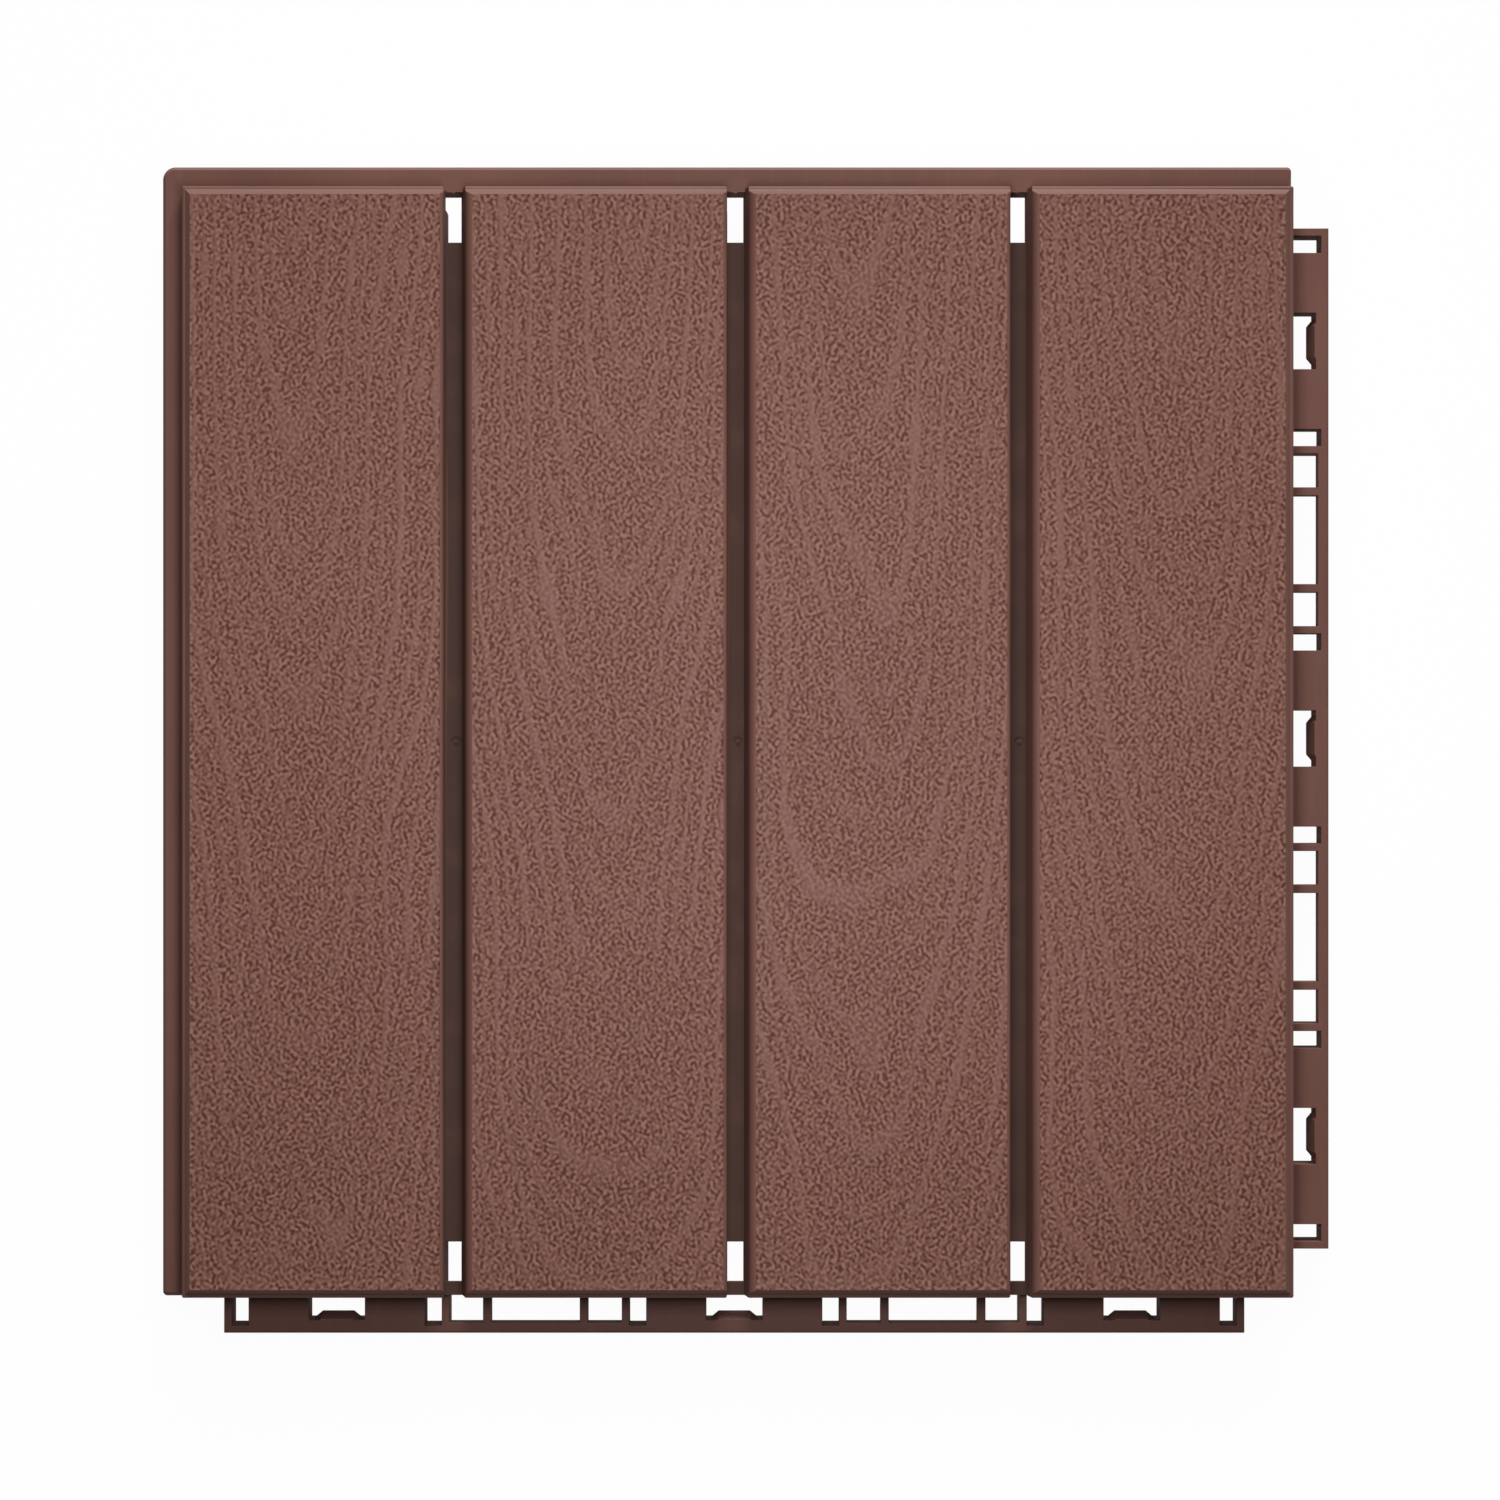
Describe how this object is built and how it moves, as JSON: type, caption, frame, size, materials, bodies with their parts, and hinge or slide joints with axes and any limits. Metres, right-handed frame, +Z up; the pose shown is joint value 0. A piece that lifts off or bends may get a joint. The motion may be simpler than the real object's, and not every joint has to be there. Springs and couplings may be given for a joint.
{
  "type": "interlocking deck tile",
  "caption": "Square moulded deck tile with parallel wood-grain slats, a ribbed underside, slotted bands on two sides and a ledge with snap hooks on the other two.",
  "frame": {"origin": "middle of the footprint, bands and ledges included, on the ground", "axes": "+Z up through the slat tops, +Y along the slats towards the ledge side, +X across the slats towards the side with the slotted band"},
  "size_m": [0.3104, 0.3104, 0.022],
  "materials": {
    "brown_plastic": "matte brown polypropylene, wood grain on the slat tops and smooth elsewhere"
  },
  "bodies": {
    "root": {"deck_tile": "brown_plastic"}
  },
  "joints": []
}
